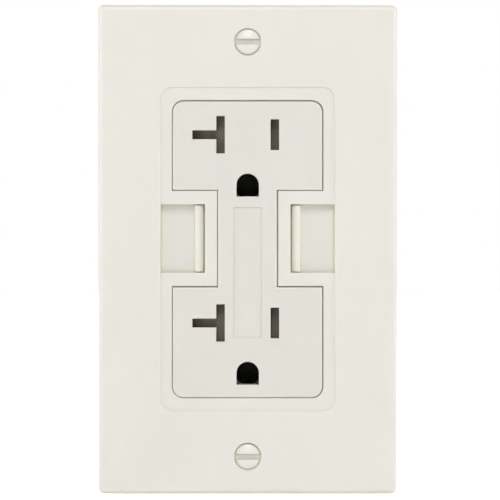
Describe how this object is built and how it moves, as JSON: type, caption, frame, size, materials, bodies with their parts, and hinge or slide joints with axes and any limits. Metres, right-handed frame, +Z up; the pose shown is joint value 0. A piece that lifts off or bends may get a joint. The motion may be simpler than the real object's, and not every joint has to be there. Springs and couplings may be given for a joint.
{
  "type": "duplex receptacle with shuttered usb ports",
  "caption": "Flush wall receptacle with T-slot sockets, tamper sliders, USB ports behind sliding doors, and a one-gang wall plate.",
  "frame": {"origin": "centre of the wall plate on the wall surface", "axes": "+Z up, +Y into the wall, +X to the right as seen from the room"},
  "size_m": [0.0698, 0.046, 0.1142],
  "materials": {
    "plate_plastic": "moulded light almond, fine satin texture",
    "face_plastic": "moulded light almond, satin",
    "shutter_plastic": "moulded light almond, satin",
    "painted_screw": "light almond enamel",
    "tamper_plastic": "warm grey moulded",
    "housing_plastic": "black thermoset, fine matt",
    "carrier_plastic": "dark grey thermoset",
    "strap_steel": "zinc plated sheet",
    "screw_steel": "zinc plated",
    "spring_steel": "drawn wire",
    "brass_strip": "stamped strip",
    "brass_screw": "turned",
    "silver_screw": "nickel plated",
    "green_screw": "green dyed zinc",
    "fibre": "pressed fibre board",
    "usb_steel": "nickel plated shell",
    "usb_tongue_plastic": "black glass-filled",
    "gold_pin": "gold plated",
    "switch_plastic": "black moulded",
    "pin_plastic": "white acetal",
    "board": "green solder mask",
    "barrier_sheet": "insulating sheet",
    "ferrite": "sintered",
    "bobbin_plastic": "black moulded",
    "winding_tape": "yellow tape over copper wire",
    "can_sleeve": "dark shrink sleeve",
    "chip_plastic": "black epoxy",
    "varistor_coat": "blue epoxy",
    "fuse_coat": "tan ceramic",
    "tinned_wire": "tinned"
  },
  "bodies": {
    "device": {"wall_plate": "plate_plastic", "plate_screws": "painted_screw", "shutter_track_screws": "screw_steel", "face_cover": "face_plastic", "mounting_strap": "strap_steel", "ground_contact_rivets": "brass_strip", "neutral_contact_bar": "brass_strip", "hot_contact_bar": "brass_strip", "box_screws": "screw_steel", "box_screw_retainers": "fibre", "contact_carrier": "carrier_plastic", "insulating_barrier": "barrier_sheet", "rear_housing": "housing_plastic", "housing_screws": "screw_steel", "usb_board": "board", "power_board": "board", "board_link_pins": "gold_pin", "supply_leads": "tinned_wire", "transformer_core": "ferrite", "transformer_bobbin": "bobbin_plastic", "transformer_winding": "winding_tape", "input_capacitors": "can_sleeve", "output_capacitors": "can_sleeve", "power_chips": "chip_plastic", "surge_varistor": "varistor_coat", "input_fuse": "fuse_coat", "upper_tamper_spring": "spring_steel", "upper_tamper_cage": "carrier_plastic", "upper_ground_contact": "brass_strip", "lower_tamper_spring": "spring_steel", "lower_tamper_cage": "carrier_plastic", "lower_ground_contact": "brass_strip", "left_shutter_track": "carrier_plastic", "left_shutter_spring": "spring_steel", "left_usb_shell": "usb_steel", "left_usb_tongue": "usb_tongue_plastic", "left_usb_pins": "gold_pin", "left_switch_body": "switch_plastic", "right_shutter_track": "carrier_plastic", "right_shutter_spring": "spring_steel", "right_usb_shell": "usb_steel", "right_usb_tongue": "usb_tongue_plastic", "right_usb_pins": "gold_pin", "right_switch_body": "switch_plastic"},
    "left_shutter": {"left_usb_shutter": "shutter_plastic"},
    "left_port_switch": {"left_switch_pin": "pin_plastic"},
    "right_shutter": {"right_usb_shutter": "shutter_plastic"},
    "right_port_switch": {"right_switch_pin": "pin_plastic"},
    "upper_tamper_shutter": {"upper_tamper_slider": "tamper_plastic"},
    "lower_tamper_shutter": {"lower_tamper_slider": "tamper_plastic"},
    "upper_neutral_clamp_body": {"upper_neutral_clamp": "silver_screw"},
    "upper_neutral_screw_body": {"upper_neutral_screw": "silver_screw"},
    "upper_hot_clamp_body": {"upper_hot_clamp": "brass_screw"},
    "upper_hot_screw_body": {"upper_hot_screw": "brass_screw"},
    "lower_neutral_clamp_body": {"lower_neutral_clamp": "silver_screw"},
    "lower_neutral_screw_body": {"lower_neutral_screw": "silver_screw"},
    "lower_hot_clamp_body": {"lower_hot_clamp": "brass_screw"},
    "lower_hot_screw_body": {"lower_hot_screw": "brass_screw"},
    "ground_clamp_body": {"ground_clamp": "green_screw"},
    "ground_screw_body": {"ground_screw": "green_screw"}
  },
  "joints": [
    {"name": "left_shutter_slide", "type": "slide", "parent": "device", "child": "left_shutter", "axis": [-1, 0, 0], "range_m": [0, 0.0078], "stiffness_N_per_m": 60, "springref_m": -0.006, "deforming": ["left_shutter_spring"]},
    {"name": "left_switch_press", "type": "slide", "parent": "device", "child": "left_port_switch", "axis": [0, 1, 0], "range_m": [0, 0.0012]},
    {"name": "right_shutter_slide", "type": "slide", "parent": "device", "child": "right_shutter", "axis": [1, 0, 0], "range_m": [0, 0.0078], "stiffness_N_per_m": 60, "springref_m": -0.006, "deforming": ["right_shutter_spring"]},
    {"name": "right_switch_press", "type": "slide", "parent": "device", "child": "right_port_switch", "axis": [0, 1, 0], "range_m": [0, 0.0012]},
    {"name": "upper_tamper_slide", "type": "slide", "parent": "device", "child": "upper_tamper_shutter", "axis": [1, 0, 0], "range_m": [0, 0.008], "stiffness_N_per_m": 60, "springref_m": -0.006, "deforming": ["upper_tamper_spring"]},
    {"name": "lower_tamper_slide", "type": "slide", "parent": "device", "child": "lower_tamper_shutter", "axis": [1, 0, 0], "range_m": [0, 0.008], "stiffness_N_per_m": 60, "springref_m": -0.006, "deforming": ["lower_tamper_spring"]},
    {"name": "upper_neutral_clamp_lift", "type": "slide", "parent": "device", "child": "upper_neutral_clamp_body", "axis": [-1, 0, 0], "range_m": [0, 0.00238]},
    {"name": "upper_neutral_screw_turn", "type": "hinge", "parent": "upper_neutral_clamp_body", "child": "upper_neutral_screw_body", "pos_m": [-0.0196, 0.0078, 0.02], "axis": [-1, 0, 0], "range_deg": [0, 1080]},
    {"name": "upper_hot_clamp_lift", "type": "slide", "parent": "device", "child": "upper_hot_clamp_body", "axis": [1, 0, 0], "range_m": [0, 0.00238]},
    {"name": "upper_hot_screw_turn", "type": "hinge", "parent": "upper_hot_clamp_body", "child": "upper_hot_screw_body", "pos_m": [0.0196, 0.0078, 0.02], "axis": [1, 0, 0], "range_deg": [0, 1080]},
    {"name": "lower_neutral_clamp_lift", "type": "slide", "parent": "device", "child": "lower_neutral_clamp_body", "axis": [-1, 0, 0], "range_m": [0, 0.00238]},
    {"name": "lower_neutral_screw_turn", "type": "hinge", "parent": "lower_neutral_clamp_body", "child": "lower_neutral_screw_body", "pos_m": [-0.0196, 0.0078, -0.02], "axis": [-1, 0, 0], "range_deg": [0, 1080]},
    {"name": "lower_hot_clamp_lift", "type": "slide", "parent": "device", "child": "lower_hot_clamp_body", "axis": [1, 0, 0], "range_m": [0, 0.00238]},
    {"name": "lower_hot_screw_turn", "type": "hinge", "parent": "lower_hot_clamp_body", "child": "lower_hot_screw_body", "pos_m": [0.0196, 0.0078, -0.02], "axis": [1, 0, 0], "range_deg": [0, 1080]},
    {"name": "ground_clamp_lift", "type": "slide", "parent": "device", "child": "ground_clamp_body", "axis": [0, 0, -1], "range_m": [0, 0.00238]},
    {"name": "ground_screw_turn", "type": "hinge", "parent": "ground_clamp_body", "child": "ground_screw_body", "pos_m": [-0.014, 0.005, -0.0375], "axis": [0, 0, -1], "range_deg": [0, 1080]}
  ],
  "couplings": [
    {"joint": "left_switch_press", "follows": "left_shutter_slide", "ratio": 0.15385},
    {"joint": "right_switch_press", "follows": "right_shutter_slide", "ratio": 0.15385},
    {"joint": "upper_neutral_screw_turn", "follows": "upper_neutral_clamp_lift", "rad_per_m": 7915.8},
    {"joint": "upper_hot_screw_turn", "follows": "upper_hot_clamp_lift", "rad_per_m": 7915.8},
    {"joint": "lower_neutral_screw_turn", "follows": "lower_neutral_clamp_lift", "rad_per_m": 7915.8},
    {"joint": "lower_hot_screw_turn", "follows": "lower_hot_clamp_lift", "rad_per_m": 7915.8},
    {"joint": "ground_screw_turn", "follows": "ground_clamp_lift", "rad_per_m": 7915.8}
  ]
}
